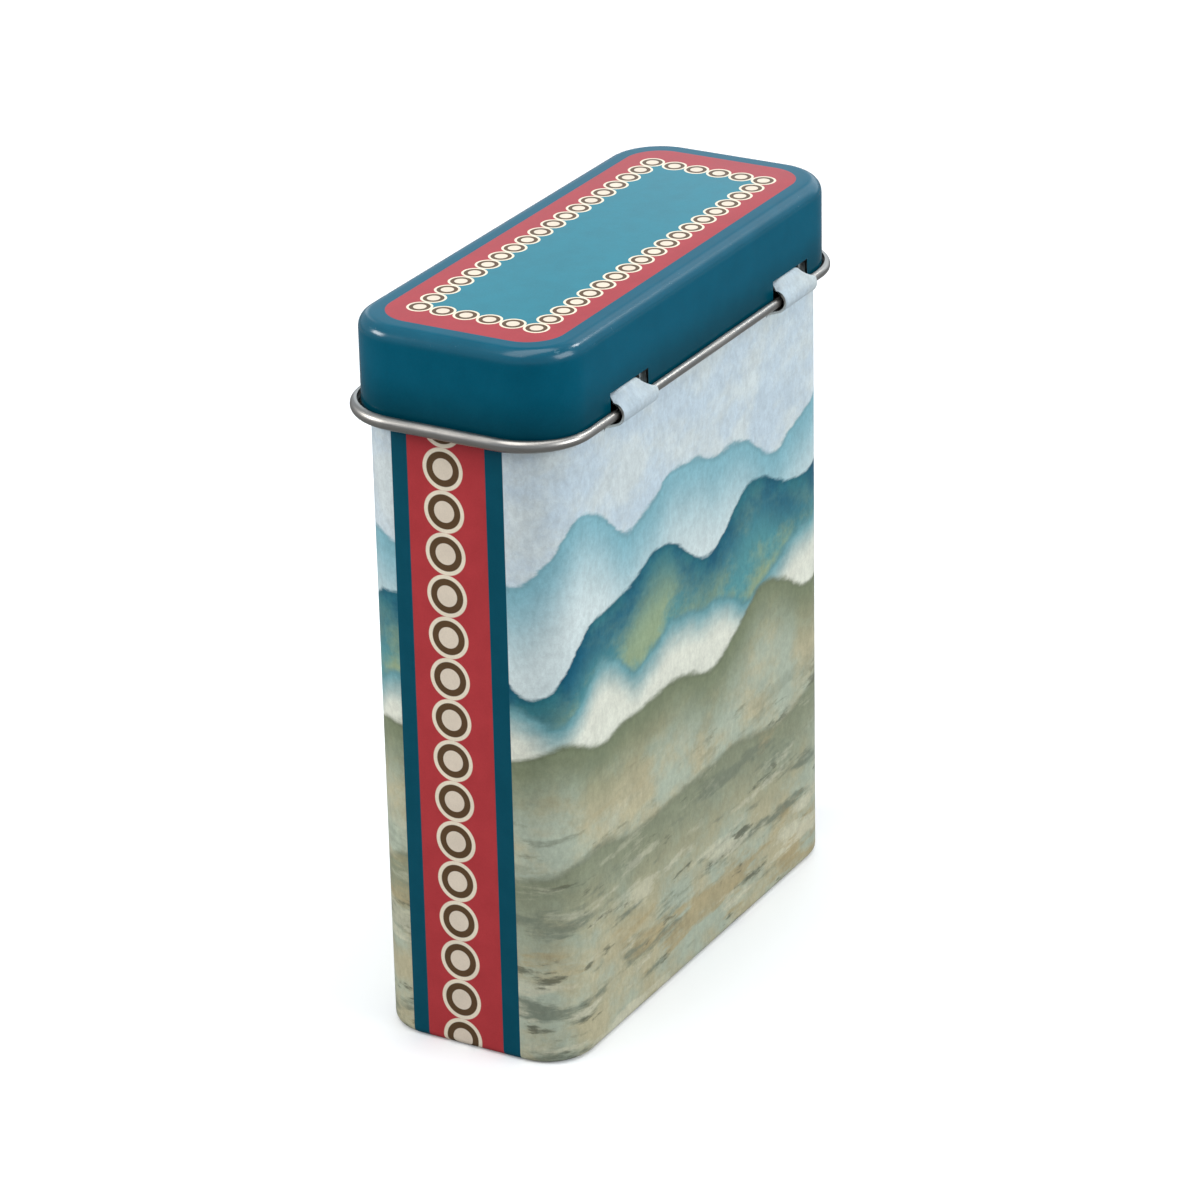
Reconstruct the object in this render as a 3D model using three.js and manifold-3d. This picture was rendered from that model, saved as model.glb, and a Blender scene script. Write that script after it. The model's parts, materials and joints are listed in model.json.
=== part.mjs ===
import * as THREE from "three";
import { mergeVertices } from "three/addons/utils/BufferGeometryUtils.js";
import Module from "manifold-3d";

const wasm = await Module();
wasm.setup();

// Millimetres. +Z up, +X along the wide side, +Y towards the hinge. Z = 0 is the table.

// Tinplate sleeve, measured outside
const BODY_WIDTH = 64;
const BODY_DEPTH = 24.7;
const BODY_CORNER = 5.65;
const TIN_HEIGHT = 84.7;
const SHEET = 0.28;

// Neck hem, bottom hem and side seam of the sleeve
const HEM_HEIGHT = 1.6;
const BOTTOM_EDGE = 0.9;
const BOTTOM_HEM = 2.4;
const SEAM_WIDTH = 4.5;
const SEAM_LAYERS = 2;

// Base plate: upturned flange inside the sleeve, panel pressed up in the middle
const BASE_CLEARANCE = 0.1;
const BASE_BEND = 0.7;
const BASE_FLANGE = 3.2;
const PANEL_RISE = 0.7;
const PANEL_MARGIN = 4.4;
const PANEL_SLOPE = 0.8;

// Lid: drawn shell that slips over the neck, its lower edge rolled outward
const LID_GAP = 0.7;
const LID_DEPTH = 10.4;
const LID_EDGE = 1.6;
const ROLL_RADIUS = 0.76;
const ROLL_SWEEP = 270;
const PIN_RADIUS = 0.56;
const NECK_CLEARANCE = 0.25;

// Hinge tongues: cut from the neck, bent out under the back of the roll, wrapped round it as a pin
// and tucked into a slot of the lid
const TONGUE_WIDTH = 7.6;
const TONGUE_INSET = 13.4;
const TONGUE_SHIFT = -1.5;
const TONGUE_CLEARANCE = 0.34;
const TONGUE_KERF = 0.12;
const TONGUE_BEND = 0.5;
const TONGUE_RISE = 36;
const TONGUE_LEAN = 115;
const ROOF_RUN = 1.9;
const ROOF_BEND = 0.35;
const TIP_DIP = 25;
const TIP_RUN = 0.46;
const TIP_CLIP = 3;
const SLOT_MARGIN = 0.35;
const SLOT_CLEARANCE = 0.14;
const SLOT_STRIP = 0.15;

const CORNER_STEPS = 8;
const BEND_STEPS = 6;
const ROLL_STEPS = 14;

const skirtInner = LID_GAP;
const skirtOuter = LID_GAP + SHEET;
const pinBore = PIN_RADIUS - SHEET;
const rollHeight = TIN_HEIGHT - LID_DEPTH;
const hingeY = BODY_DEPTH / 2 + skirtOuter + pinBore;
const hingeReach = BODY_DEPTH + skirtOuter + pinBore;
const frontSwing = hingeReach + LID_GAP - NECK_CLEARANCE;
const neckTop = rollHeight + Math.sqrt(frontSwing ** 2 - hingeReach ** 2);
const tongueReach = BODY_WIDTH / 2 - TONGUE_INSET;
const tongueCentres = [TONGUE_SHIFT - tongueReach, TONGUE_SHIFT + tongueReach];
const degree = Math.PI / 180;

// Points of an arc in a plane, angles in degrees
function arc(centre, radius, start, end, steps) {
  const points = [];
  for (let step = 0; step <= steps; step += 1) {
    const angle = (start + ((end - start) * step) / steps) * degree;
    points.push([centre[0] + radius * Math.cos(angle), centre[1] + radius * Math.sin(angle)]);
  }
  return points;
}

// The sleeve's outline moved out by an offset, as a loop of points
function outline(offset) {
  const halfX = BODY_WIDTH / 2 - BODY_CORNER;
  const halfY = BODY_DEPTH / 2 - BODY_CORNER;
  const radius = BODY_CORNER + offset;
  return [
    ...arc([halfX, halfY], radius, 0, 90, CORNER_STEPS),
    ...arc([-halfX, halfY], radius, 90, 180, CORNER_STEPS),
    ...arc([-halfX, -halfY], radius, 180, 270, CORNER_STEPS),
    ...arc([halfX, -halfY], radius, 270, 360, CORNER_STEPS),
  ];
}

// How far each point of the outline belongs to the back, from 0 at the ends to 1 on the flat
const backShares = [
  ...arc([0, 0], 1, 0, 90, CORNER_STEPS).map((point, step) => step / CORNER_STEPS),
  ...arc([0, 0], 1, 0, 90, CORNER_STEPS).map((point, step) => 1 - step / CORNER_STEPS),
];

// Closed body from points and triangles, turned so that its faces look out
function closedBody(points, triangles) {
  let volume = 0;
  for (const [a, b, c] of triangles) {
    const first = new THREE.Vector3(...points[a]);
    const second = new THREE.Vector3(...points[b]);
    volume += first.dot(second.cross(new THREE.Vector3(...points[c])));
  }
  const facing = volume > 0 ? triangles : triangles.map(([a, b, c]) => [a, c, b]);
  const geometry = new THREE.BufferGeometry();
  geometry.setAttribute("position", new THREE.Float32BufferAttribute(points.flat(), 3));
  geometry.setIndex(facing.flat());
  return geometry;
}

// Sheet that follows the outline; each profile point is [offset from the wall, height]. The profile
// may turn into another one along the back.
function pressedSheet(profile, isRing, backProfile = profile) {
  const loops = profile.map(([offset, height], row) => {
    const [backOffset, backHeight] = backProfile[row];
    const backLoop = outline(backOffset);
    return outline(offset).map(([x, y], place) => {
      const share = backShares[place] ?? 0;
      const [backX, backY] = backLoop[place];
      return [x + (backX - x) * share, y + (backY - y) * share, height + (backHeight - height) * share];
    });
  });
  const size = loops[0].length;
  const points = loops.flat();
  const triangles = [];
  const rows = isRing ? loops.length : loops.length - 1;
  for (let row = 0; row < rows; row += 1) {
    const next = (row + 1) % loops.length;
    for (let place = 0; place < size; place += 1) {
      const beside = (place + 1) % size;
      triangles.push([row * size + place, row * size + beside, next * size + beside]);
      triangles.push([row * size + place, next * size + beside, next * size + place]);
    }
  }
  if (!isRing) {
    const last = (loops.length - 1) * size;
    const firstCentre = points.push([0, 0, profile[0][1]]) - 1;
    const lastCentre = points.push([0, 0, profile[profile.length - 1][1]]) - 1;
    for (let place = 0; place < size; place += 1) {
      const beside = (place + 1) % size;
      triangles.push([firstCentre, beside, place]);
      triangles.push([lastCentre, last + place, last + beside]);
    }
  }
  return closedBody(points, triangles);
}

// Strip of sheet bent along a path in Y and Z; each station is [y, z, heading, low x, high x]
function bentStrip(stations) {
  const points = [];
  const triangles = [];
  for (const [y, z, heading, lowX, highX] of stations) {
    const across = [-Math.sin(heading * degree) * SHEET / 2, Math.cos(heading * degree) * SHEET / 2];
    points.push([lowX, y - across[0], z - across[1]]);
    points.push([highX, y - across[0], z - across[1]]);
    points.push([highX, y + across[0], z + across[1]]);
    points.push([lowX, y + across[0], z + across[1]]);
  }
  for (let row = 0; row < stations.length - 1; row += 1) {
    for (let side = 0; side < 4; side += 1) {
      const beside = (side + 1) % 4;
      triangles.push([row * 4 + side, row * 4 + beside, row * 4 + 4 + beside]);
      triangles.push([row * 4 + side, row * 4 + 4 + beside, row * 4 + 4 + side]);
    }
  }
  const last = (stations.length - 1) * 4;
  triangles.push([0, 2, 1], [0, 3, 2]);
  triangles.push([last, last + 1, last + 2], [last, last + 2, last + 3]);
  return closedBody(points, triangles);
}

function block(lowX, highX, lowY, highY, lowZ, highZ) {
  const geometry = new THREE.BoxGeometry(highX - lowX, highY - lowY, highZ - lowZ);
  geometry.translate((lowX + highX) / 2, (lowY + highY) / 2, (lowZ + highZ) / 2);
  return geometry;
}

function toManifold(geometry) {
  const bare = new THREE.BufferGeometry();
  bare.setAttribute("position", geometry.getAttribute("position"));
  bare.setIndex(geometry.getIndex());
  const merged = mergeVertices(bare, 1e-5);
  const vertProperties = new Float32Array(merged.getAttribute("position").array);
  const triVerts = new Uint32Array(merged.getIndex().array);
  return new wasm.Manifold(new wasm.Mesh({ numProp: 3, vertProperties, triVerts }));
}

function cut(geometry, cutters) {
  let result = toManifold(geometry);
  for (const cutter of cutters) {
    result = result.subtract(toManifold(cutter));
  }
  const mesh = result.getMesh();
  const bare = new THREE.BufferGeometry();
  bare.setAttribute("position", new THREE.Float32BufferAttribute(mesh.vertProperties, 3));
  bare.setIndex(Array.from(mesh.triVerts));
  return bare;
}

// Path of a tongue: up the wall, out under the pin, round it, up and over into the lid
const wallY = BODY_DEPTH / 2 - SHEET / 2;
const wrapRadius = PIN_RADIUS + TONGUE_CLEARANCE + SHEET / 2;
const wrapEnds = [TONGUE_RISE, TONGUE_LEAN].map((heading) => [
  hingeY + wrapRadius * Math.sin(heading * degree),
  rollHeight - wrapRadius * Math.cos(heading * degree),
]);
const bendEndY = wallY + TONGUE_BEND * (1 - Math.sin(TONGUE_RISE * degree));
const bendEndZ = wrapEnds[0][1] - (wrapEnds[0][0] - bendEndY) * Math.tan(TONGUE_RISE * degree);
const rootZ = bendEndZ - TONGUE_BEND * Math.cos(TONGUE_RISE * degree);
const roofHeading = 180 + TIP_DIP;
const roofY = wrapEnds[1][0] + ROOF_RUN * Math.cos(TONGUE_LEAN * degree);
const roofZ = wrapEnds[1][1] + ROOF_RUN * Math.sin(TONGUE_LEAN * degree);
const roofCentre = [
  roofY - ROOF_BEND * Math.sin(TONGUE_LEAN * degree),
  roofZ + ROOF_BEND * Math.cos(TONGUE_LEAN * degree),
];
const roofEndY = roofCentre[0] + ROOF_BEND * Math.sin(roofHeading * degree);
const roofEndZ = roofCentre[1] - ROOF_BEND * Math.cos(roofHeading * degree);
const tipY = roofEndY + TIP_RUN * Math.cos(roofHeading * degree);
const tipZ = roofEndZ + TIP_RUN * Math.sin(roofHeading * degree);

// Slot of the lid: from just over the pin to clear of the tongue all through the swing
const roofSwing = Math.hypot(roofCentre[0] - hingeY, roofCentre[1] - rollHeight) + ROOF_BEND + SHEET / 2;
const slotLow = rollHeight + SLOT_STRIP;
const slotHigh = rollHeight + Math.sqrt((roofSwing + SLOT_CLEARANCE) ** 2 - pinBore ** 2);

function tongue(centreX) {
  const lowX = centreX - TONGUE_WIDTH / 2;
  const highX = centreX + TONGUE_WIDTH / 2;
  const stations = [];
  for (let step = 0; step <= BEND_STEPS; step += 1) {
    const heading = 90 + ((TONGUE_RISE - 90) * step) / BEND_STEPS;
    const y = wallY + TONGUE_BEND * (1 - Math.sin(heading * degree));
    const z = rootZ + TONGUE_BEND * Math.cos(heading * degree);
    stations.push([y, z, heading, lowX, highX]);
  }
  for (let step = 0; step <= ROLL_STEPS; step += 1) {
    const heading = TONGUE_RISE + ((TONGUE_LEAN - TONGUE_RISE) * step) / ROLL_STEPS;
    const y = hingeY + wrapRadius * Math.sin(heading * degree);
    const z = rollHeight - wrapRadius * Math.cos(heading * degree);
    stations.push([y, z, heading, lowX, highX]);
  }
  for (let step = 0; step <= BEND_STEPS; step += 1) {
    const share = step / BEND_STEPS;
    const heading = TONGUE_LEAN + (roofHeading - TONGUE_LEAN) * share;
    const y = roofCentre[0] + ROOF_BEND * Math.sin(heading * degree);
    const z = roofCentre[1] - ROOF_BEND * Math.cos(heading * degree);
    stations.push([y, z, heading, lowX + TIP_CLIP * (0.8 + 0.12 * share), highX]);
  }
  stations.push([tipY, tipZ, roofHeading, lowX + TIP_CLIP, highX]);
  return bentStrip(stations);
}

const wall = BODY_DEPTH / 2;

const sleeveProfile = [
  [0, BOTTOM_EDGE],
  ...arc([-SHEET, neckTop - SHEET], SHEET, 0, 180, BEND_STEPS),
  [-2 * SHEET, neckTop - HEM_HEIGHT],
  [-SHEET, neckTop - HEM_HEIGHT],
  ...arc([-BOTTOM_EDGE, BOTTOM_EDGE], BOTTOM_EDGE - SHEET, 0, -90, BEND_STEPS),
  [-BOTTOM_HEM, SHEET],
  [-BOTTOM_HEM, 0],
  ...arc([-BOTTOM_EDGE, BOTTOM_EDGE], BOTTOM_EDGE, -90, 0, BEND_STEPS).slice(0, -1),
];
const notches = tongueCentres.map((centreX) => {
  const reach = TONGUE_WIDTH / 2 + TONGUE_KERF;
  return block(centreX - reach, centreX + reach, wall - 4 * SHEET, wall + SHEET, rootZ, neckTop + 1);
});
const sleeve = cut(pressedSheet(sleeveProfile, true), notches);

const flangeOuter = -SHEET - BASE_CLEARANCE;
const bendCentre = [flangeOuter - BASE_BEND, SHEET + BASE_BEND];
const baseProfile = [
  [-PANEL_MARGIN - PANEL_SLOPE, SHEET + PANEL_RISE],
  [-PANEL_MARGIN, SHEET],
  ...arc(bendCentre, BASE_BEND, -90, 0, BEND_STEPS),
  [flangeOuter, SHEET + BASE_FLANGE],
  [flangeOuter - SHEET, SHEET + BASE_FLANGE],
  ...arc(bendCentre, BASE_BEND - SHEET, 0, -90, BEND_STEPS),
  [-PANEL_MARGIN, 2 * SHEET],
  [-PANEL_MARGIN - PANEL_SLOPE, 2 * SHEET + PANEL_RISE],
];
const base = pressedSheet(baseProfile, false);

const seamInner = -BODY_WIDTH / 2 + SHEET;
const seam = block(
  seamInner,
  seamInner + SEAM_LAYERS * SHEET,
  -SEAM_WIDTH / 2,
  SEAM_WIDTH / 2,
  SHEET + BASE_FLANGE + BASE_CLEARANCE,
  neckTop - HEM_HEIGHT - BASE_CLEARANCE,
);

const lidEdgeCentre = [skirtOuter - LID_EDGE, TIN_HEIGHT - LID_EDGE];
const lidProfile = [
  ...arc(lidEdgeCentre, LID_EDGE, 90, 0, BEND_STEPS),
  [skirtOuter, rollHeight],
  [skirtInner, rollHeight],
  ...arc(lidEdgeCentre, LID_EDGE - SHEET, 0, 90, BEND_STEPS),
];
const slots = tongueCentres.map((centreX) => {
  const reach = TONGUE_WIDTH / 2 + SLOT_MARGIN;
  const lowY = wall + skirtInner - SHEET;
  const highY = wall + skirtOuter + SHEET;
  return block(centreX - reach, centreX + reach, lowY, highY, slotLow, slotHigh);
});
const shell = cut(pressedSheet(lidProfile, false), slots);

function rolledEdge(radius) {
  const bore = radius - SHEET;
  const centre = [skirtOuter + bore, rollHeight];
  return [
    ...arc(centre, bore, 180, 180 + ROLL_SWEEP, ROLL_STEPS),
    ...arc(centre, radius, 180 + ROLL_SWEEP, 180, ROLL_STEPS),
  ];
}
const roll = pressedSheet(rolledEdge(ROLL_RADIUS), true, rolledEdge(PIN_RADIUS));

const tin = new THREE.Group();
tin.name = "dog_treat_tin";

function place(name, geometry, color, metalness, roughness) {
  const material = new THREE.MeshStandardMaterial({ name: `${name}_finish`, color, metalness, roughness });
  const mesh = new THREE.Mesh(geometry, material);
  mesh.name = name;
  tin.add(mesh);
}

place("body_sleeve", sleeve, 0xa9bdb8, 0.1, 0.45);
place("side_seam", seam, 0xc4c2bd, 0.9, 0.35);
place("base_plate", base, 0xbdbbb6, 0.9, 0.35);
place("hinge_tongue_left", tongue(tongueCentres[0]), 0x9fb8bf, 0.2, 0.45);
place("hinge_tongue_right", tongue(tongueCentres[1]), 0x9fb8bf, 0.2, 0.45);
place("lid_shell", shell, 0x1c5f74, 0.1, 0.4);
place("lid_rolled_rim", roll, 0xb9b7b3, 0.9, 0.3);

export default tin;
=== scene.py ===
import json
import math

import bmesh
import bpy
from mathutils import Matrix, Vector


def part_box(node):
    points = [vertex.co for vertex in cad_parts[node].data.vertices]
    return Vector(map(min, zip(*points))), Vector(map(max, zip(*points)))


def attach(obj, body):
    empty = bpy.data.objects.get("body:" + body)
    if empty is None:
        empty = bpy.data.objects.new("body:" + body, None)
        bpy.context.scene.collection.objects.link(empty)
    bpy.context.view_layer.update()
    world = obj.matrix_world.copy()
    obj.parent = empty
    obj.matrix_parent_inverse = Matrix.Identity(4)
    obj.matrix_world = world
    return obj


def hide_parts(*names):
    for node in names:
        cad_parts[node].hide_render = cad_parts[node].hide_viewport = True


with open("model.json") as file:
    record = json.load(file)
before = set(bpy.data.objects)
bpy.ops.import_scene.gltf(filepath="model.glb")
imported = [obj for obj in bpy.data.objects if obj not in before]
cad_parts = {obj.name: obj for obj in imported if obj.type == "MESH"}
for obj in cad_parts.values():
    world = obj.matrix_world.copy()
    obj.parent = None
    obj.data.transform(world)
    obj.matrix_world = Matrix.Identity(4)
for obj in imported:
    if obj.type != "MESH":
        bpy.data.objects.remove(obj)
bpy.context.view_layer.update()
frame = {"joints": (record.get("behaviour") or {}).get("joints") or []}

# Base plate: a tinplate tray with an upturned flange, its middle pressed up so the tin
# doesn't rock. It drops into the sleeve and rests on the sleeve's turned-in bottom edge.


def packed(node):
    """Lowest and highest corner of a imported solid, in millimetres."""
    low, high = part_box(node)
    return low * 1000, high * 1000


sleeve_high = packed("body_sleeve")[1]
base_low, base_high = packed("base_plate")
half_width = sleeve_high.x
half_depth = sleeve_high.y
corner = 5.65
sheet = base_low.z
flange_in = half_width - base_high.x
base_bend = 0.7
base_flange = base_high.z - base_low.z
panel_rise = 0.7
panel_margin = 4.4
panel_slope = 0.8


def bend(bm, geom, centre, axis, degrees, steps):
    """Turns an edge or a whole profile about an axis, leaving sheet behind it."""
    made = bmesh.ops.spin(
        bm, geom=geom, cent=centre, axis=axis, dvec=(0, 0, 0), angle=math.radians(degrees), steps=steps
    )
    return made["geom_last"]


def draw_out(bm, geom, way, steps=1):
    """Pulls a point or a profile straight along a way, leaving sheet behind it."""
    pull = [part / steps for part in way]
    made = bmesh.ops.spin(bm, geom=geom, cent=(0, 0, 0), axis=(0, 0, 1), dvec=pull, angle=0, steps=steps)
    return made["geom_last"]


def wrap_profile(bm, corner_steps=14, side_steps=1):
    """Carries the profile in bm, drawn at the right-hand end, once round the tin."""
    flat_x = half_width - corner
    flat_y = half_depth - corner
    geom = bm.verts[:] + bm.edges[:]
    for x, y, way in (
        (flat_x, flat_y, (0, 2 * flat_y, 0)),
        (-flat_x, flat_y, (-2 * flat_x, 0, 0)),
        (-flat_x, -flat_y, (0, -2 * flat_y, 0)),
        (flat_x, -flat_y, (2 * flat_x, 0, 0)),
    ):
        geom = draw_out(bm, geom, way, side_steps)
        geom = bend(bm, geom, (x, y, 0), (0, 0, 1), 90, corner_steps)
    bmesh.ops.remove_doubles(bm, verts=bm.verts[:], dist=0.001)


def start_profile(bm, offset, height):
    """First point of a profile, at an offset out from the sleeve's wall."""
    return [bm.verts.new((half_width + offset, corner - half_depth, height))]


def fill_ring(bm, height):
    """Closes the open ring of edges at a height with one flat face."""
    ring = [e for e in bm.edges if e.is_boundary and all(abs(v.co.z - height) < 0.001 for v in e.verts)]
    bmesh.ops.edgeloop_fill(bm, edges=ring)


def face_outwards(bm):
    """Turns the sheet so that its right-hand end looks along +X."""
    bmesh.ops.recalc_face_normals(bm, faces=bm.faces[:])
    end = max(bm.faces, key=lambda face: face.calc_center_median().x * abs(face.normal.x))
    if end.normal.x < 0:
        bmesh.ops.reverse_faces(bm, faces=bm.faces[:])


def sheet_piece(
    name, bm, materials, body, nodes, thickness=sheet, offset=-1.0, inside=1, rounded=0.0
):
    """Gives a bent sheet its thickness and makes it a piece that rides on a body."""
    bmesh.ops.scale(bm, vec=(0.001, 0.001, 0.001), verts=bm.verts[:])
    mesh = bpy.data.meshes.new(name)
    bm.to_mesh(mesh)
    bm.free()
    piece = bpy.data.objects.new(name, mesh)
    bpy.context.scene.collection.objects.link(piece)
    for material in materials:
        mesh.materials.append(material)
    wall = piece.modifiers.new("sheet", "SOLIDIFY")
    wall.thickness = thickness / 1000
    wall.offset = offset
    wall.use_even_offset = True
    wall.material_offset = inside
    wall.material_offset_rim = inside
    if rounded:
        edge = piece.modifiers.new("edge", "BEVEL")
        edge.width = rounded / 1000
        edge.segments = 2
        edge.limit_method = "ANGLE"
        edge.angle_limit = math.radians(50)
    graph = bpy.context.evaluated_depsgraph_get()
    finished = bpy.data.meshes.new_from_object(piece.evaluated_get(graph))
    piece.modifiers.clear()
    piece.data = finished
    finished.shade_smooth()
    finished.set_sharp_from_angle(angle=math.radians(40))
    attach(piece, body)
    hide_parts(*nodes)
    return piece


def shade(tree, kind, ins=None, **options):
    """Adds a shader node with its options, and fills or links its inputs."""
    made = tree.nodes.new(kind)
    for option, value in options.items():
        setattr(made, option, value)
    for place, value in (ins or {}).items():
        if isinstance(value, bpy.types.NodeSocket):
            tree.links.new(value, made.inputs[place])
        else:
            made.inputs[place].default_value = value
    return made


def sums(tree, operation, first, second=0.0, third=0.0):
    """One math node."""
    return shade(tree, "ShaderNodeMath", {0: first, 1: second, 2: third}, operation=operation).outputs[0]


def fade(tree, value, low, high, from_value=0.0, to_value=1.0):
    """A smooth step between two values."""
    ins = {"Value": value, "From Min": low, "From Max": high, "To Min": from_value, "To Max": to_value}
    return shade(tree, "ShaderNodeMapRange", ins, interpolation_type="SMOOTHSTEP").outputs["Result"]


def ink(red, green, blue):
    """A printed colour as seen on screen, 0 to 255, as the linear colour that shaders take."""
    parts = [part / 255 for part in (red, green, blue)]
    return [*(part / 12.92 if part <= 0.04045 else ((part + 0.055) / 1.055) ** 2.4 for part in parts), 1.0]


def lay(tree, amount, under, over):
    """One colour laid over another by a mask."""
    return shade(tree, "ShaderNodeMix", {0: amount, 6: under, 7: over}, data_type="RGBA").outputs[2]


def millimetres(tree):
    """The piece's own coordinates in millimetres."""
    place = shade(tree, "ShaderNodeTexCoord").outputs["Object"]
    return shade(tree, "ShaderNodeVectorMath", {0: place, "Scale": 1000.0}, operation="SCALE").outputs[0]


def noise(tree, place, scale, stretch=(1, 1, 1), detail=3.0, roughness=0.55):
    """Noise with a scale in turns per millimetre, stretched by axis."""
    stretched = shade(tree, "ShaderNodeVectorMath", {0: place, 1: stretch}, operation="MULTIPLY").outputs[0]
    ins = {"Vector": stretched, "Scale": scale, "Detail": detail, "Roughness": roughness}
    return shade(tree, "ShaderNodeTexNoise", ins).outputs["Fac"]


def new_material(name):
    """A material with its node tree and its shader."""
    material = bpy.data.materials.new(name)
    material.use_nodes = True
    tree = material.node_tree
    return material, tree, tree.nodes["Principled BSDF"]


def press_in(tree, shader, height, strength, distance):
    """Fine relief on a material."""
    ins = {"Height": height, "Strength": strength, "Distance": distance}
    bump = shade(tree, "ShaderNodeBump", ins).outputs["Normal"]
    tree.links.new(bump, shader.inputs["Normal"])


def new_group(name, ins, outs):
    """A shader node group with named sockets."""
    group = bpy.data.node_groups.new(name, "ShaderNodeTree")
    for socket, kind in ins:
        group.interface.new_socket(socket, in_out="INPUT", socket_type=kind)
    for socket, kind in outs:
        group.interface.new_socket(socket, in_out="OUTPUT", socket_type=kind)
    return group, group.nodes.new("NodeGroupInput").outputs, group.nodes.new("NodeGroupOutput").inputs


# Rolling marks and dulling that every bare tinplate face shows.
plate_marks, marks_in, marks_out = new_group(
    "plate_marks",
    [("Place", "NodeSocketVector")],
    [("Tone", "NodeSocketFloat"), ("Dullness", "NodeSocketFloat"), ("Height", "NodeSocketFloat")],
)
rolled = noise(plate_marks, marks_in["Place"], scale=1.0, stretch=(0.35, 0.35, 9.0), detail=4.0)
clouded = noise(plate_marks, marks_in["Place"], scale=0.16, detail=4.0)
speckle = noise(plate_marks, marks_in["Place"], scale=3.2, detail=2.0)
tone = sums(plate_marks, "MULTIPLY_ADD", rolled, 0.28, 0.86)
tone = sums(plate_marks, "MULTIPLY_ADD", speckle, 0.12, sums(plate_marks, "SUBTRACT", tone, 0.06))
plate_marks.links.new(tone, marks_out["Tone"])
plate_marks.links.new(fade(plate_marks, clouded, 0.3, 0.7, -0.06, 0.1), marks_out["Dullness"])
plate_marks.links.new(sums(plate_marks, "MULTIPLY_ADD", speckle, 0.4, rolled), marks_out["Height"])


def tinplate(name, colour, roughness, metallic=1.0):
    """Bare tinned steel, soft grey and a little streaky."""
    material, tree, shader = new_material(name)
    place = millimetres(tree)
    marks = shade(tree, "ShaderNodeGroup", node_tree=plate_marks)
    tree.links.new(place, marks.inputs["Place"])
    tone = marks.outputs["Tone"]
    grey = shade(tree, "ShaderNodeCombineColor", {0: tone, 1: tone, 2: tone}).outputs[0]
    ins = {0: 1.0, 6: colour, 7: grey}
    toned = shade(tree, "ShaderNodeMix", ins, data_type="RGBA", blend_type="MULTIPLY")
    tree.links.new(toned.outputs[2], shader.inputs["Base Color"])
    tree.links.new(sums(tree, "ADD", marks.outputs["Dullness"], roughness), shader.inputs["Roughness"])
    shader.inputs["Metallic"].default_value = metallic
    press_in(tree, shader, marks.outputs["Height"], strength=0.12, distance=0.0001)
    return material


bright_plate = tinplate("bright_tinplate", ink(205, 203, 198), roughness=0.27)
inner_plate = tinplate("inner_tinplate", ink(212, 210, 205), roughness=0.38, metallic=0.45)

bm = bmesh.new()
bend_in = flange_in + base_bend
edge = start_profile(bm, -panel_margin - panel_slope, sheet + panel_rise)
edge = draw_out(bm, edge, (panel_slope, 0, -panel_rise))
edge = draw_out(bm, edge, (panel_margin - bend_in, 0, 0))
edge = bend(bm, edge, (half_width - bend_in, 0, sheet + base_bend), (0, 1, 0), -90, 6)
draw_out(bm, edge, (0, 0, base_flange - base_bend))
wrap_profile(bm)
fill_ring(bm, sheet + panel_rise)
face_outwards(bm)
sheet_piece("base_tray", bm, [inner_plate], "tin_body", ["base_plate"], inside=0)


# Sleeve: printed tinplate wrapped into a round-cornered tube, folded in at the neck and at
# the bottom. Two tongues are cut out of its back, so its neck has two open notches there.
neck_top = sleeve_high.z
hem_gap = 0.02
hem_bend = sheet + hem_gap
hem_height = 1.6
foot_edge = 0.9
foot_hem = 2.4
tongue_sides = ("left", "right")
tongue_boxes = [packed("hinge_tongue_" + side) for side in tongue_sides]
tongue_places = [(low.x + high.x) / 2 for low, high in tongue_boxes]
tongue_width = tongue_boxes[0][1].x - tongue_boxes[0][0].x
hinge_place = Vector(frame["joints"][0]["pos_m"]) * 1000
tongue_drop = 1.99
tongue_root = hinge_place.z - tongue_drop
notch_spare = 0.12
band_middle = -0.62
band_half = 6.84
red_middle = -0.72
red_half = 4.78
ring_middle = -1.13
ring_pitch = 4.894
ring_first = 69.52
ring_rows = 20
seam_line_y = 2.3
seam_line_half = 0.05
seam_line_soft = 0.16
end_skin = 0.1
print_blur = 0.04


def open_window(bm, low_x, high_x, low_z, high_z):
    """Cuts a rectangular opening in the flat back of a sheet."""
    for place, normal in (
        ((low_x, 0, 0), (1, 0, 0)),
        ((high_x, 0, 0), (1, 0, 0)),
        ((0, 0, low_z), (0, 0, 1)),
        ((0, 0, high_z), (0, 0, 1)),
    ):
        back = [f for f in bm.faces if f.calc_center_median().y > half_depth - 1 and abs(f.normal.x) < 0.01]
        bounding = {e for f in back for e in f.edges} | {v for f in back for v in f.verts}
        bmesh.ops.bisect_plane(bm, geom=back + list(bounding), plane_co=place, plane_no=normal, dist=0.0001)
    waste = []
    for face in bm.faces:
        x, y, z = face.calc_center_median()
        if y > half_depth - 1 and low_x < x < high_x and low_z < z < high_z:
            waste.append(face)
    bmesh.ops.delete(bm, geom=waste, context="FACES")


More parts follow.
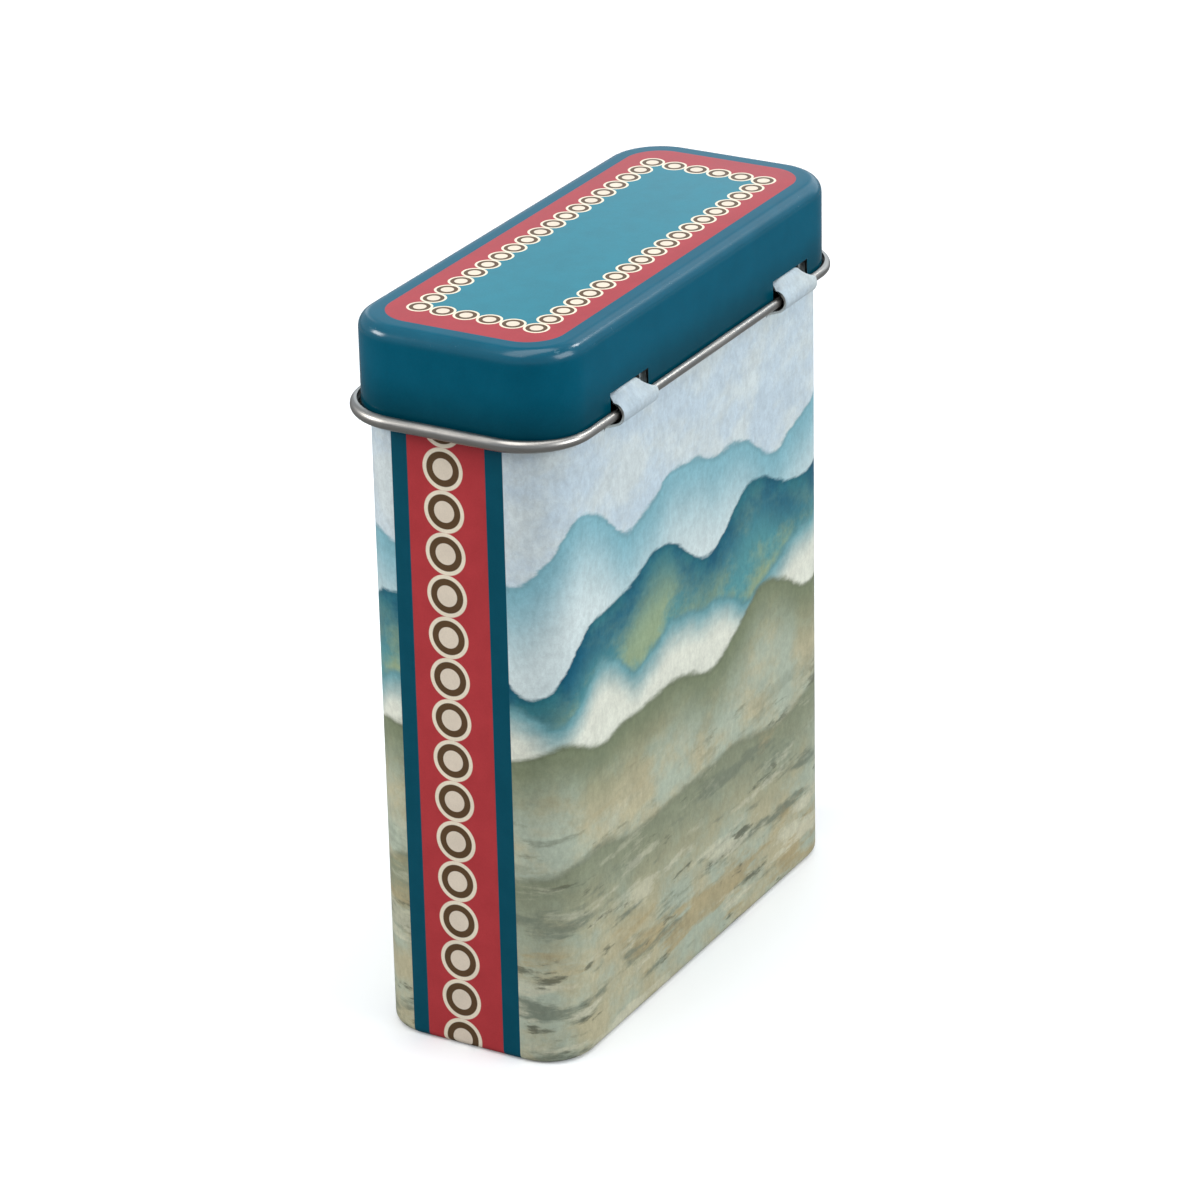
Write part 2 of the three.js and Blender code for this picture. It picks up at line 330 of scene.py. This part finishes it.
# Fine grain of the print and its varnish, the same on lid and sleeve.
print_grain, grain_in, grain_out = new_group(
    "print_grain",
    [("Place", "NodeSocketVector"), ("Colour", "NodeSocketColor"), ("Amount", "NodeSocketFloat")],
    [("Colour", "NodeSocketColor"), ("Roughness", "NodeSocketFloat"), ("Height", "NodeSocketFloat")],
)
dots = noise(print_grain, grain_in["Place"], scale=4.5, detail=2.0, roughness=0.7)
patches = noise(print_grain, grain_in["Place"], scale=0.35, detail=4.0)
dots = sums(print_grain, "SUBTRACT", dots, 0.5)
dotted = sums(print_grain, "MULTIPLY_ADD", dots, grain_in["Amount"], 1.0)
patched = fade(print_grain, patches, 0.25, 0.75, 0.95, 1.05)
value = sums(print_grain, "MULTIPLY", dotted, patched)
grained = shade(print_grain, "ShaderNodeHueSaturation", {"Value": value, "Color": grain_in["Colour"]})
print_grain.links.new(grained.outputs[0], grain_out["Colour"])
print_grain.links.new(fade(print_grain, patches, 0.3, 0.7, 0.27, 0.36), grain_out["Roughness"])
print_grain.links.new(patches, grain_out["Height"])

# One ring of the border chains: cream, brown, cream, from its rim to its middle.
ring_mark, ring_in, ring_out = new_group(
    "ring_mark",
    [("Across", "NodeSocketFloat"), ("Along", "NodeSocketFloat")],
    [("Ring", "NodeSocketFloat"), ("Brown", "NodeSocketFloat"), ("Middle", "NodeSocketFloat")],
)
square = sums(ring_mark, "MULTIPLY", ring_in["Across"], ring_in["Across"])
square = sums(ring_mark, "MULTIPLY_ADD", ring_in["Along"], ring_in["Along"], square)
radius = sums(ring_mark, "MULTIPLY", sums(ring_mark, "SQRT", square), 2.0)
ring_mark.links.new(fade(ring_mark, radius, 0.98, 1.03, 1.0, 0.0), ring_out["Ring"])
brown_rim = fade(ring_mark, radius, 0.8, 0.84, 1.0, 0.0)
middle = fade(ring_mark, radius, 0.48, 0.52, 1.0, 0.0)
ring_mark.links.new(sums(ring_mark, "SUBTRACT", brown_rim, middle), ring_out["Brown"])
ring_mark.links.new(middle, ring_out["Middle"])

petrol_ink = ink(0, 76, 94)
red_ink = ink(178, 57, 61)
cream_ink = ink(234, 221, 197)
brown_ink = ink(92, 69, 46)
dark_cream_ink = ink(221, 206, 186)
seam_ink = ink(60, 50, 48)


def print_rings(tree, across, along, shown, under):
    """Lays a chain of rings over a colour."""
    ring = shade(tree, "ShaderNodeGroup", {}, node_tree=ring_mark)
    tree.links.new(across, ring.inputs["Across"])
    tree.links.new(along, ring.inputs["Along"])
    colour = lay(tree, sums(tree, "MULTIPLY", ring.outputs["Ring"], shown), under, cream_ink)
    colour = lay(tree, sums(tree, "MULTIPLY", ring.outputs["Brown"], shown), colour, brown_ink)
    return lay(tree, sums(tree, "MULTIPLY", ring.outputs["Middle"], shown), colour, dark_cream_ink)


def wash(tree, under, run, height, top, foot, seed, level, swing, reach, depth, soft):
    """A brushed hill whose ridge wanders along the tin and whose colour thins towards its foot."""
    along = sums(tree, "MULTIPLY_ADD", run, 1 / reach, seed)
    ins = {"W": along, "Scale": 1.0, "Detail": 1.0, "Roughness": 0.4}
    wander = shade(tree, "ShaderNodeTexNoise", ins, noise_dimensions="1D").outputs["Fac"]
    ridge = sums(tree, "MULTIPLY_ADD", sums(tree, "SUBTRACT", wander, 0.5), swing, level)
    under_ridge = sums(tree, "SUBTRACT", ridge, height)
    thinned = fade(tree, under_ridge, 0.0, depth)
    colour = lay(tree, thinned, top, foot)
    pooled = fade(tree, under_ridge, 0.0, 0.9, 0.45, 0.0)
    deeper = shade(tree, "ShaderNodeHueSaturation", {"Value": 0.55, "Color": top}).outputs[0]
    colour = lay(tree, pooled, colour, deeper)
    return lay(tree, fade(tree, under_ridge, -soft, soft), under, colour)


def brush(tree, under, place, height, seed, scale, low, high, between, colour):
    """Broad level brush strokes with ragged ends, thinning out between two heights."""
    ins = {0: place, 1: (seed, -seed, seed)}
    moved = shade(tree, "ShaderNodeVectorMath", ins, operation="ADD").outputs[0]
    streaks = noise(tree, moved, scale, stretch=(0.35, 0.35, 1.5), detail=6.0, roughness=0.62)
    thinned = fade(tree, height, between[1], between[0], 0.8, 0.0)
    shown = sums(tree, "MULTIPLY", fade(tree, streaks, low, high), thinned)
    return lay(tree, shown, under, colour)


# Painted landscape of the wide faces: pale sky, blue hills in mist, dry meadow in the foreground.
hill_print, hill_in, hill_out = new_group(
    "hill_print",
    [("Place", "NodeSocketVector")],
    [("Colour", "NodeSocketColor"), ("Height", "NodeSocketFloat")],
)
tree = hill_print
side_shift = 70.0
# Painted shade: above the tongues' root the print is darkened to this share over this run in millimetres,
# so the tongues and the strip of wall under the lid's rim come out darker.
painted_neck_shade_level = 0.86
painted_neck_shade_run = 1.5
spot = hill_in["Place"]
x, y, z = shade(tree, "ShaderNodeSeparateXYZ", {0: spot}).outputs
round_corner = sums(tree, "SUBTRACT", half_depth, sums(tree, "ABSOLUTE", y))
run = sums(tree, "MULTIPLY_ADD", sums(tree, "SIGN", x), round_corner, x)
side = sums(tree, "SIGN", y)
run = sums(tree, "MULTIPLY_ADD", run, side, sums(tree, "MULTIPLY", side, side_shift))
brushed = noise(tree, spot, scale=0.5, stretch=(0.5, 0.5, 1.6), detail=5.0, roughness=0.65)
height = sums(tree, "MULTIPLY_ADD", sums(tree, "SUBTRACT", brushed, 0.5), 1.6, z)
blooms = noise(tree, spot, scale=0.11, stretch=(1.0, 1.0, 1.4), detail=5.0, roughness=0.62)
bloomed = fade(tree, blooms, 0.38, 0.64)
sky_blue = ink(192, 206, 214)
sky_pale = ink(205, 213, 212)
colour = lay(tree, bloomed, sky_blue, sky_pale)
far_blue = ink(128, 176, 186)
far_foot = ink(208, 219, 217)
colour = wash(
    tree, colour, run, height, far_blue, far_foot,
    seed=3.1, level=60.0, swing=20.0, reach=21.0, depth=12.0, soft=0.35,
)
near_blue = lay(tree, bloomed, ink(22, 88, 112), ink(48, 116, 126))
near_foot = lay(tree, bloomed, ink(84, 144, 148), ink(148, 166, 132))
colour = wash(
    tree, colour, run, height, near_blue, near_foot,
    seed=8.7, level=52.0, swing=26.0, reach=27.0, depth=9.0, soft=0.3,
)
mist_blue = ink(104, 156, 162)
mist_white = ink(222, 222, 206)
colour = wash(
    tree, colour, run, height, mist_blue, mist_white,
    seed=1.9, level=43.0, swing=14.0, reach=16.0, depth=5.0, soft=0.6,
)
meadow = lay(tree, bloomed, ink(184, 176, 144), ink(174, 182, 162))
ridge_olive = ink(122, 130, 102)
ridge_sage = ink(136, 141, 116)
colour = wash(
    tree, colour, run, height, ridge_olive, meadow,
    seed=5.3, level=37.0, swing=15.0, reach=23.0, depth=10.0, soft=0.5,
)
colour = wash(
    tree, colour, run, height, ridge_sage, meadow,
    seed=6.6, level=23.0, swing=13.0, reach=31.0, depth=14.0, soft=0.7,
)
for seed, scale, low, high, between, stroke_ink in (
    (4.0, 0.16, 0.5, 0.6, (34.0, 12.0), ink(112, 120, 104)),
    (23.0, 0.13, 0.53, 0.63, (40.0, 6.0), ink(174, 157, 118)),
    (57.0, 0.2, 0.54, 0.64, (40.0, 0.0), ink(206, 202, 176)),
    (81.0, 0.3, 0.6, 0.68, (38.0, 16.0), ink(94, 96, 78)),
):
    colour = brush(tree, colour, spot, height, seed, scale, low, high, between, stroke_ink)
paper = noise(tree, spot, scale=1.5, stretch=(1.0, 1.0, 0.7), detail=4.0, roughness=0.72)
paper_grain_and_shade = fade(tree, paper, 0.28, 0.72, 0.9, 1.09)
# Painted shade laid over the paper grain: the print is darker from the tongues' root upward, under the
# lid's rim.
painted_neck_shade = fade(tree, z, tongue_root, tongue_root + painted_neck_shade_run, 1.0, painted_neck_shade_level)
paper_grain_and_shade = sums(tree, "MULTIPLY", paper_grain_and_shade, painted_neck_shade)
toned = shade(tree, "ShaderNodeHueSaturation", {"Value": paper_grain_and_shade, "Color": colour}).outputs[0]
tree.links.new(toned, hill_out["Colour"])
tree.links.new(paper, hill_out["Height"])

sleeve_print, tree, shader = new_material("sleeve_print")
place = millimetres(tree)
x, y, z = shade(tree, "ShaderNodeSeparateXYZ", {0: place}).outputs
hills = shade(tree, "ShaderNodeGroup", node_tree=hill_print)
tree.links.new(place, hills.inputs["Place"])
from_middle = sums(tree, "ABSOLUTE", sums(tree, "SUBTRACT", y, band_middle))
in_band = fade(tree, from_middle, band_half - print_blur, band_half + print_blur, 1.0, 0.0)
from_red = sums(tree, "ABSOLUTE", sums(tree, "SUBTRACT", y, red_middle))
in_red = fade(tree, from_red, red_half - print_blur, red_half + print_blur, 1.0, 0.0)
band = lay(tree, in_red, petrol_ink, red_ink)
across = sums(tree, "DIVIDE", sums(tree, "SUBTRACT", y, ring_middle), ring_pitch)
down = sums(tree, "ADD", z, sums(tree, "SUBTRACT", sums(tree, "ABSOLUTE", x), half_width))
ring_start = ring_first - ring_pitch * (ring_rows + 0.5)
along = sums(tree, "DIVIDE", sums(tree, "SUBTRACT", down, ring_start), ring_pitch)
along = sums(tree, "SUBTRACT", sums(tree, "FRACT", along), 0.5)
band = print_rings(tree, across, along, in_red, band)
colour = lay(tree, in_band, hills.outputs["Colour"], band)
from_seam = sums(tree, "ABSOLUTE", sums(tree, "SUBTRACT", y, seam_line_y))
left_end = fade(tree, x, end_skin - half_width, 2 * end_skin - half_width, 1.0, 0.0)
on_seam = fade(tree, from_seam, seam_line_half, seam_line_soft, 1.0, 0.0)
seam_line = sums(tree, "MULTIPLY", on_seam, left_end)
colour = lay(tree, sums(tree, "MULTIPLY", seam_line, 0.5), colour, seam_ink)
grain = shade(tree, "ShaderNodeGroup", {}, node_tree=print_grain)
tree.links.new(place, grain.inputs["Place"])
tree.links.new(colour, grain.inputs["Colour"])
grain.inputs["Amount"].default_value = 0.2
tree.links.new(grain.outputs["Colour"], shader.inputs["Base Color"])
tree.links.new(sums(tree, "ADD", grain.outputs["Roughness"], 0.06), shader.inputs["Roughness"])
relief = sums(tree, "MULTIPLY_ADD", hills.outputs["Height"], 0.5, grain.outputs["Height"])
relief = sums(tree, "MULTIPLY_ADD", seam_line, -8.0, relief)
press_in(tree, shader, relief, strength=0.06, distance=0.0002)
shader.inputs["Specular IOR Level"].default_value = 0.1

bm = bmesh.new()
edge = start_profile(bm, -foot_hem, 0.0)
edge = draw_out(bm, edge, (foot_hem - foot_edge, 0, 0))
edge = bend(bm, edge, (half_width - foot_edge, 0, foot_edge), (0, 1, 0), -90, 6)
edge = draw_out(bm, edge, (0, 0, neck_top - hem_bend - foot_edge))
edge = bend(bm, edge, (half_width - hem_bend, 0, neck_top - hem_bend), (0, 1, 0), -180, 8)
draw_out(bm, edge, (0, 0, hem_bend - hem_height))
wrap_profile(bm)
face_outwards(bm)
for middle_x in tongue_places:
    reach = tongue_width / 2 + notch_spare
    open_window(bm, middle_x - reach, middle_x + reach, tongue_root, neck_top + 1)
sheet_piece("sleeve_wall", bm, [sleeve_print, inner_plate], "tin_body", ["body_sleeve"])

# Side seam: the sleeve's two edges hooked together and pressed flat inside the left-hand
# end, so the outside shows only a fine line. Bare tinplate, the full height of the wall.
seam_low, seam_high = packed("side_seam")
seam_wall = seam_low.x
seam_edge = seam_low.y
seam_foot = seam_low.z
seam_height = seam_high.z - seam_low.z
seam_skin = 0.04
low_layer = 0.28
high_layer = 0.26
layer_slope = 0.12
low_width = 1.6
high_width = 1.9
fold_radius = 0.27

bm = bmesh.new()
edge = [bm.verts.new((seam_wall, seam_edge, seam_foot))]
edge = draw_out(bm, edge, (low_layer, low_layer, 0))
edge = draw_out(bm, edge, (0, low_width, 0))
edge = draw_out(bm, edge, (high_layer, layer_slope, 0))
edge = draw_out(bm, edge, (0, high_width, 0))
fold_y = seam_edge + low_layer + low_width + layer_slope + high_width
edge = bend(bm, edge, (seam_wall + fold_radius, fold_y, seam_foot), (0, 0, 1), 90, 4)
draw_out(bm, edge, (-fold_radius, 0.0, 0))
draw_out(bm, bm.verts[:] + bm.edges[:], (0, 0, seam_height))
face_outwards(bm)
sheet_piece(
    "lock_seam", bm, [inner_plate], "tin_body", ["side_seam"], thickness=seam_skin, inside=0
)


# Hinge tongues: strips of the sleeve's own sheet, bent out under the lid's rolled rim, wrapped
# round it and tucked through a slot in the lid. The print runs on over them, cut edges are bare.
wrap_back = 0.16
wrap_lift = 0.05
wrap_y = hinge_place.y - wrap_back
wrap_z = hinge_place.z + wrap_lift
wrap_radius = 1.198
foot_bend = 0.45
roof_run = 1.7
roof_bend = 0.35
tip_run = 0.3
tip_clip = 3.0
curl_width = 2.2
curl_radius = 1.22
curl_from = 34
curl_to = 108
curl_fade_in = 20
curl_fade_out = 18
tongue_rounding = 0.06
rise_heading = 20
lean_heading = 124
dip_heading = 205


def first_point(geom):
    """Where the first point of an edge is."""
    return next(part.co.copy() for part in geom if isinstance(part, bmesh.types.BMVert))


for side, middle_x in zip(tongue_sides, tongue_places):
    wall = half_depth - sheet / 2
    rise, lean, dip = (math.radians(heading) for heading in (rise_heading, lean_heading, dip_heading))
    bm = bmesh.new()
    edge = [bm.verts.new((middle_x - tongue_width / 2, wall, tongue_root))]
    draw_out(bm, edge, (tongue_width, 0, 0), 16)
    edge = bm.verts[:] + bm.edges[:]
    edge = bend(bm, edge, (0, wall + foot_bend, tongue_root), (1, 0, 0), rise_heading - 90, 6)
    under_y = wrap_y + wrap_radius * math.sin(rise) - first_point(edge).y
    under_z = wrap_z - wrap_radius * math.cos(rise) - first_point(edge).z
    edge = draw_out(bm, edge, (0, under_y, under_z), 3)
    edge = bend(bm, edge, (0, wrap_y, wrap_z), (1, 0, 0), lean_heading - rise_heading, 16)
    edge = draw_out(bm, edge, (0, roof_run * math.cos(lean), roof_run * math.sin(lean)), 6)
    roof = first_point(edge)
    over = (0, roof.y - roof_bend * math.sin(lean), roof.z + roof_bend * math.cos(lean))
    edge = bend(bm, edge, over, (1, 0, 0), dip_heading - lean_heading, 8)
    draw_out(bm, edge, (0, tip_run * math.cos(dip), tip_run * math.sin(dip)))
    for vert in bm.verts:
        turned = math.degrees(math.atan2(vert.co.z - wrap_z, vert.co.y - wrap_y))
        far = math.hypot(vert.co.z - wrap_z, vert.co.y - wrap_y)
        across = (vert.co.x - middle_x) / tongue_width + 0.5
        if turned > curl_from:
            curl = max(0.0, 1 - (1 - across) * tongue_width / curl_width) ** 2
            curl *= min(1.0, (turned - curl_from) / curl_fade_in)
            curl *= max(0.0, min(1.0, (curl_to - turned) / curl_fade_out))
            pulled = 1 + (curl_radius / far - 1) * curl
            vert.co.y = wrap_y + (vert.co.y - wrap_y) * pulled
            vert.co.z = wrap_z + (vert.co.z - wrap_z) * pulled
            vert.co.x += tip_clip * (turned - curl_from) / (curl_to - curl_from) * (1 - across)
    bmesh.ops.recalc_face_normals(bm, faces=bm.faces[:])
    if max(bm.faces, key=lambda face: face.calc_center_median().y).normal.y < 0:
        bmesh.ops.reverse_faces(bm, faces=bm.faces[:])
    node = "hinge_tongue_" + side
    sheet_piece(
        "tongue_" + side,
        bm,
        [sleeve_print, bright_plate],
        "tin_body",
        [node],
        offset=0.0,
        rounded=tongue_rounding,
    )


# Lid: one shell drawn from printed tinplate, with a rounded top edge and a deep skirt that
# slips over the neck. Its back has two slots for the tongues. Petrol print, red panel on top.
lid_low, lid_high = packed("lid_shell")
lid_top = lid_high.z
lid_edge = 1.6
skirt_out = lid_high.x - half_width
roll_height = lid_low.z
slot_strip = 0.15
slot_height = 2.37
slot_low = roll_height + slot_strip
slot_high = slot_low + slot_height
slot_spare = 0.35
red_long = 30.1
red_short = 10.6
red_corner = 4.2
chain_pitch = 2.852
chain_long = 9.0
chain_short = 2.5
panel_ink = ink(41, 120, 136)
scuff_ink = ink(120, 160, 172)
lid_red_ink = ink(163, 57, 63)
# The lid's petrol is painted in two tones by height: a lighter one is a painted sheen on the upper skirt
# and the top, a darker one is painted shade just above the rolled rim.
lid_petrol_painted_sheen = ink(0, 84, 106)
lid_petrol_painted_shade = ink(0, 66, 82)
painted_shade_top = 0.6
painted_sheen_start = 6.0

lid_print, tree, shader = new_material("lid_print")
place = millimetres(tree)
x, y, z = shade(tree, "ShaderNodeSeparateXYZ", {0: place}).outputs
out_x = sums(tree, "ABSOLUTE", x)
out_y = sums(tree, "ABSOLUTE", y)
past_x = sums(tree, "SUBTRACT", out_x, red_long - red_corner)
past_y = sums(tree, "SUBTRACT", out_y, red_short - red_corner)
far_x = sums(tree, "MAXIMUM", past_x, 0.0)
far_y = sums(tree, "MAXIMUM", past_y, 0.0)
square = sums(tree, "MULTIPLY_ADD", far_x, far_x, sums(tree, "MULTIPLY", far_y, far_y))
round_out = sums(tree, "SQRT", square)
flat_in = sums(tree, "MINIMUM", sums(tree, "MAXIMUM", past_x, past_y), 0.0)
panel_edge = sums(tree, "SUBTRACT", sums(tree, "ADD", round_out, flat_in), red_corner)
# Painted shade and sheen: the petrol is darkest just above the rolled rim and lightens up the skirt towards
# the top.
risen = fade(tree, z, roll_height + painted_shade_top, roll_height + painted_sheen_start)
skirt = lay(tree, risen, lid_petrol_painted_shade, lid_petrol_painted_sheen)
colour = lay(tree, fade(tree, panel_edge, -0.05, 0.05, 1.0, 0.0), skirt, lid_red_ink)
panel_x = chain_long * chain_pitch
panel_y = chain_short * chain_pitch
in_long = fade(tree, out_x, panel_x - print_blur, panel_x + print_blur, 1.0, 0.0)
in_short = fade(tree, out_y, panel_y - print_blur, panel_y + print_blur, 1.0, 0.0)
colour = lay(tree, sums(tree, "MULTIPLY", in_long, in_short), colour, panel_ink)
count_x = sums(tree, "DIVIDE", x, chain_pitch)
count_y = sums(tree, "DIVIDE", y, chain_pitch)
near_x = sums(tree, "ROUND", count_x)
near_y = sums(tree, "ADD", sums(tree, "FLOOR", count_y), 0.5)
step_x = sums(tree, "DIVIDE", sums(tree, "ABSOLUTE", near_x), chain_long)
step_y = sums(tree, "DIVIDE", sums(tree, "ABSOLUTE", near_y), chain_short)
on_chain = sums(tree, "COMPARE", sums(tree, "MAXIMUM", step_x, step_y), 1.0, 0.02)
colour = print_rings(
    tree, sums(tree, "SUBTRACT", count_x, near_x), sums(tree, "SUBTRACT", count_y, near_y), on_chain, colour
)
on_edge = fade(tree, z, lid_top - 1.5, lid_top - 0.7)
on_edge = sums(tree, "MULTIPLY", on_edge, fade(tree, z, lid_top - 0.3, lid_top - 0.05, 1.0, 0.0))
scuffs = noise(tree, place, scale=0.8, stretch=(1, 1, 2), detail=5.0, roughness=0.7)
scuffed = sums(tree, "MULTIPLY", on_edge, fade(tree, scuffs, 0.62, 0.72))
colour = lay(tree, sums(tree, "MULTIPLY", scuffed, 0.35), colour, scuff_ink)
grain = shade(tree, "ShaderNodeGroup", {}, node_tree=print_grain)
tree.links.new(place, grain.inputs["Place"])
tree.links.new(colour, grain.inputs["Colour"])
grain.inputs["Amount"].default_value = 0.22
tree.links.new(grain.outputs["Colour"], shader.inputs["Base Color"])
smooth = sums(tree, "SUBTRACT", grain.outputs["Roughness"], 0.1)
tree.links.new(sums(tree, "MULTIPLY_ADD", scuffed, 0.15, smooth), shader.inputs["Roughness"])
# The varnish lies thicker on the rounded edge, which is the one place that shines.
rounded = fade(tree, z, lid_top - lid_edge - 0.1, lid_top - lid_edge + 0.4)
rounded = sums(tree, "MULTIPLY", rounded, fade(tree, z, lid_top - 0.15, lid_top - 0.01, 0.7, 0.0))
tree.links.new(rounded, shader.inputs["Coat Weight"])
shader.inputs["Coat Roughness"].default_value = 0.2
press_in(tree, shader, grain.outputs["Height"], strength=0.05, distance=0.0002)
shader.inputs["Specular IOR Level"].default_value = 0.08

bm = bmesh.new()
edge = start_profile(bm, skirt_out - lid_edge, lid_top)
edge = bend(bm, edge, (half_width + skirt_out - lid_edge, 0, lid_top - lid_edge), (0, 1, 0), 90, 8)
draw_out(bm, edge, (0, 0, roll_height - lid_top + lid_edge))
wrap_profile(bm)
fill_ring(bm, lid_top)
face_outwards(bm)
for middle_x in tongue_places:
    reach = tongue_width / 2 + slot_spare
    open_window(bm, middle_x - reach, middle_x + reach, slot_low, slot_high)
sheet_piece("lid_pressing", bm, [lid_print, bright_plate], "lid", ["lid_shell"])

# Rolled rim: the skirt's lower edge curled outward through three quarters of a turn, so the
# plain inner face of the sheet shows. It stiffens the lid. Along the back it is rolled tighter
# and is the pin that the lid swings on.
roll_radius = 0.758
pin_radius = 0.56
roll_sweep = 270
roll_out = skirt_out + roll_radius - sheet
dull_plate = tinplate("dull_tinplate", ink(176, 172, 166), roughness=0.33)
bm = bmesh.new()
edge = start_profile(bm, roll_out - roll_radius, roll_height)
bend(bm, edge, (half_width + roll_out, 0, roll_height), (0, 1, 0), -roll_sweep, 20)
wrap_profile(bm, side_steps=4)
start = corner + skirt_out - sheet
for vert in bm.verts:
    out_y = vert.co.y - half_depth + corner
    if out_y > 0.001:
        middle_x = max(corner - half_width, min(half_width - corner, vert.co.x))
        out_x = vert.co.x - middle_x
        far = math.hypot(out_x, out_y)
        tighter = 1 - (1 - pin_radius / roll_radius) * math.atan2(out_y, abs(out_x)) / math.radians(90)
        pulled = (start + (far - start) * tighter) / far
        vert.co.x = middle_x + out_x * pulled
        vert.co.y = half_depth - corner + out_y * pulled
        vert.co.z = roll_height + (vert.co.z - roll_height) * tighter
face_outwards(bm)
sheet_piece("rim_roll", bm, [dull_plate], "lid", ["lid_rolled_rim"], inside=0)


# Floor: a pale matt table top, large enough to fill the view. The camera sees it white. It lights
# the tin as a greyer one and mirrors darker in the tin's gloss, so that the print keeps its colour.
floor_size = 3.0
floor_seen = ink(244, 244, 244)
floor_lit = ink(188, 188, 188)
floor_mirrored = ink(112, 112, 112)
floor_glow = 0.1
floor_material, tree, shader = new_material("pale_floor")
light_path = shade(tree, "ShaderNodeLightPath").outputs
seen = light_path["Is Camera Ray"]
shown = lay(tree, light_path["Is Glossy Ray"], floor_lit, floor_mirrored)
tree.links.new(lay(tree, seen, shown, floor_seen), shader.inputs["Base Color"])
tree.links.new(lay(tree, seen, (0.0, 0.0, 0.0, 1.0), (1.0, 1.0, 1.0, 1.0)), shader.inputs["Emission Color"])
shader.inputs["Emission Strength"].default_value = floor_glow
shader.inputs["Roughness"].default_value = 0.8
bm = bmesh.new()
bmesh.ops.create_grid(bm, x_segments=1, y_segments=1, size=floor_size)
mesh = bpy.data.meshes.new("floor")
bm.to_mesh(mesh)
bm.free()
mesh.materials.append(floor_material)
floor = bpy.data.objects.new("floor", mesh)
bpy.context.scene.collection.objects.link(floor)

# Light: a cool bright room with a soft box overhead, one on the hinge side, a panel to the
# left, a cool panel far behind, and a small lamp that glints on the lid's near corner.
room_colour = (0.82, 0.9, 1.0, 1.0)
room_strength = 0.48
scene = bpy.context.scene
scene.view_settings.view_transform = "Standard"
world = bpy.data.worlds.new("studio")
world.use_nodes = True
room = world.node_tree.nodes["Background"]
room.inputs["Color"].default_value = room_colour
room.inputs["Strength"].default_value = room_strength
scene.world = world


def soft_box(name, place, aim, size, watts, colour):
    """A rectangular lamp at a place, turned towards what it lights."""
    lamp = bpy.data.lights.new(name, "AREA")
    lamp.shape = "RECTANGLE"
    lamp.size, lamp.size_y = size
    lamp.energy = watts
    lamp.color = colour
    box = bpy.data.objects.new(name, lamp)
    way = (Vector(aim) - Vector(place)).normalized()
    box.matrix_world = Matrix.Translation(place) @ way.to_track_quat("-Z", "Y").to_matrix().to_4x4()
    scene.collection.objects.link(box)


soft_box("overhead_box", (0.1, -0.02, 0.75), (0, 0, 0.05), (0.4, 0.85), 3.0, (1.0, 0.99, 0.97))
soft_box("far_panel", (-0.9, -0.2, 0.5), (0, 0, 0.08), (1.6, 0.8), 3.0, (0.8, 0.92, 1.0))
soft_box("hinge_side_box", (-0.1, 0.92, 0.5), (0, 0, 0.05), (0.6, 0.5), 5.0, (0.95, 0.98, 1.0))
soft_box("left_panel", (0.5, -0.82, 0.5), (0, 0, 0.05), (0.4, 0.3), 5.2, (1.0, 0.99, 0.97))
soft_box("corner_lamp", (-0.52, 0.33, 0.57), (0, 0, 0.08), (0.14, 0.14), 1.1, (1.0, 1.0, 1.0))

# Camera: a long lens above the tin, turned to its right-hand end and its hinge side, where the
# photograph was taken from, and held a little off level. Angles are in degrees, lengths in metres.
camera_turn = 29.754
camera_tilt = 24.167
camera_roll = -1.295
camera_far = 0.565
camera_aim = (0.000502, -0.000353, 0.041894)
lens = bpy.data.cameras.new("photo_camera")
lens.sensor_fit = "HORIZONTAL"
lens.sensor_width = 36.0
lens.lens = 150.37
lens.clip_end = 20.0
camera = bpy.data.objects.new("photo_camera", lens)
about = Matrix.Rotation(math.radians(90 + camera_turn), 4, "Z")
about = about @ Matrix.Rotation(math.radians(90 - camera_tilt), 4, "X")
about = about @ Matrix.Rotation(math.radians(camera_roll), 4, "Z")
camera.matrix_world = Matrix.Translation(camera_aim) @ about @ Matrix.Translation((0, 0, camera_far))
scene.collection.objects.link(camera)
scene.camera = camera
